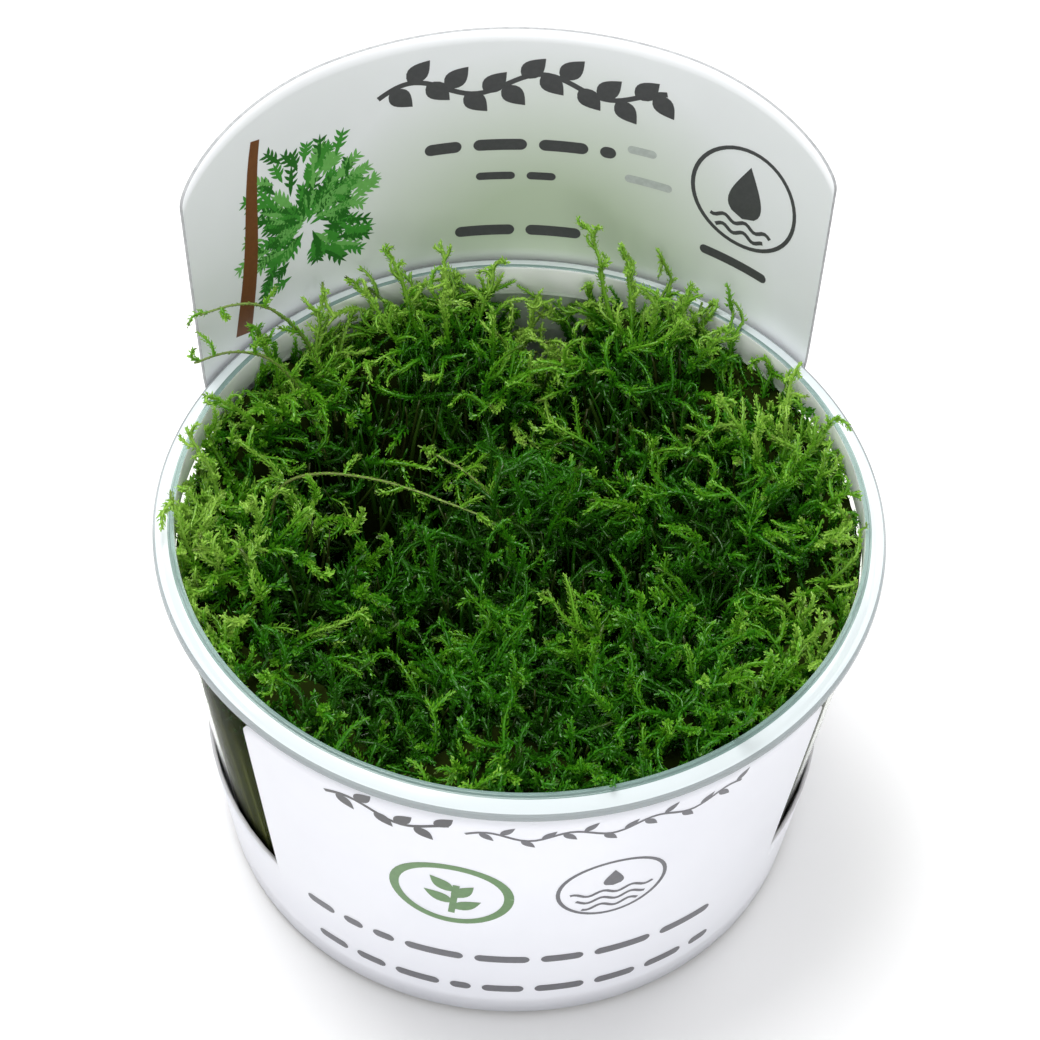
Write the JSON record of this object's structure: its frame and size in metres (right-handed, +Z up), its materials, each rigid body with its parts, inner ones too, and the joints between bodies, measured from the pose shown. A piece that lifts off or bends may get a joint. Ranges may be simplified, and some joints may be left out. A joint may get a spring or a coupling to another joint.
{
  "type": "tissue culture spiky moss in a cup",
  "caption": "Spiky green moss growing in tufts in a round clear plastic cup with a flanged rim, wrapped in a white card sleeve whose header stands up behind the cup.",
  "frame": {"origin": "centre of the flat underside of the cup", "axes": "+Z up along the cup's axis, -Y towards the front panel of the sleeve, +Y towards its header"},
  "size_m": [0.1, 0.1059, 0.0985],
  "materials": {
    "clear_plastic": "clear gloss",
    "printed_card": "glossy printed card",
    "moss": "soft leafy moss"
  },
  "bodies": {
    "root": {"cup": "clear_plastic", "label_sleeve": "printed_card", "tuft_back": "moss", "tuft_back_left": "moss", "tuft_back_right": "moss", "tuft_front": "moss", "tuft_front_left": "moss", "tuft_front_right": "moss", "tuft_left": "moss", "tuft_middle": "moss", "tuft_right": "moss"}
  },
  "joints": []
}
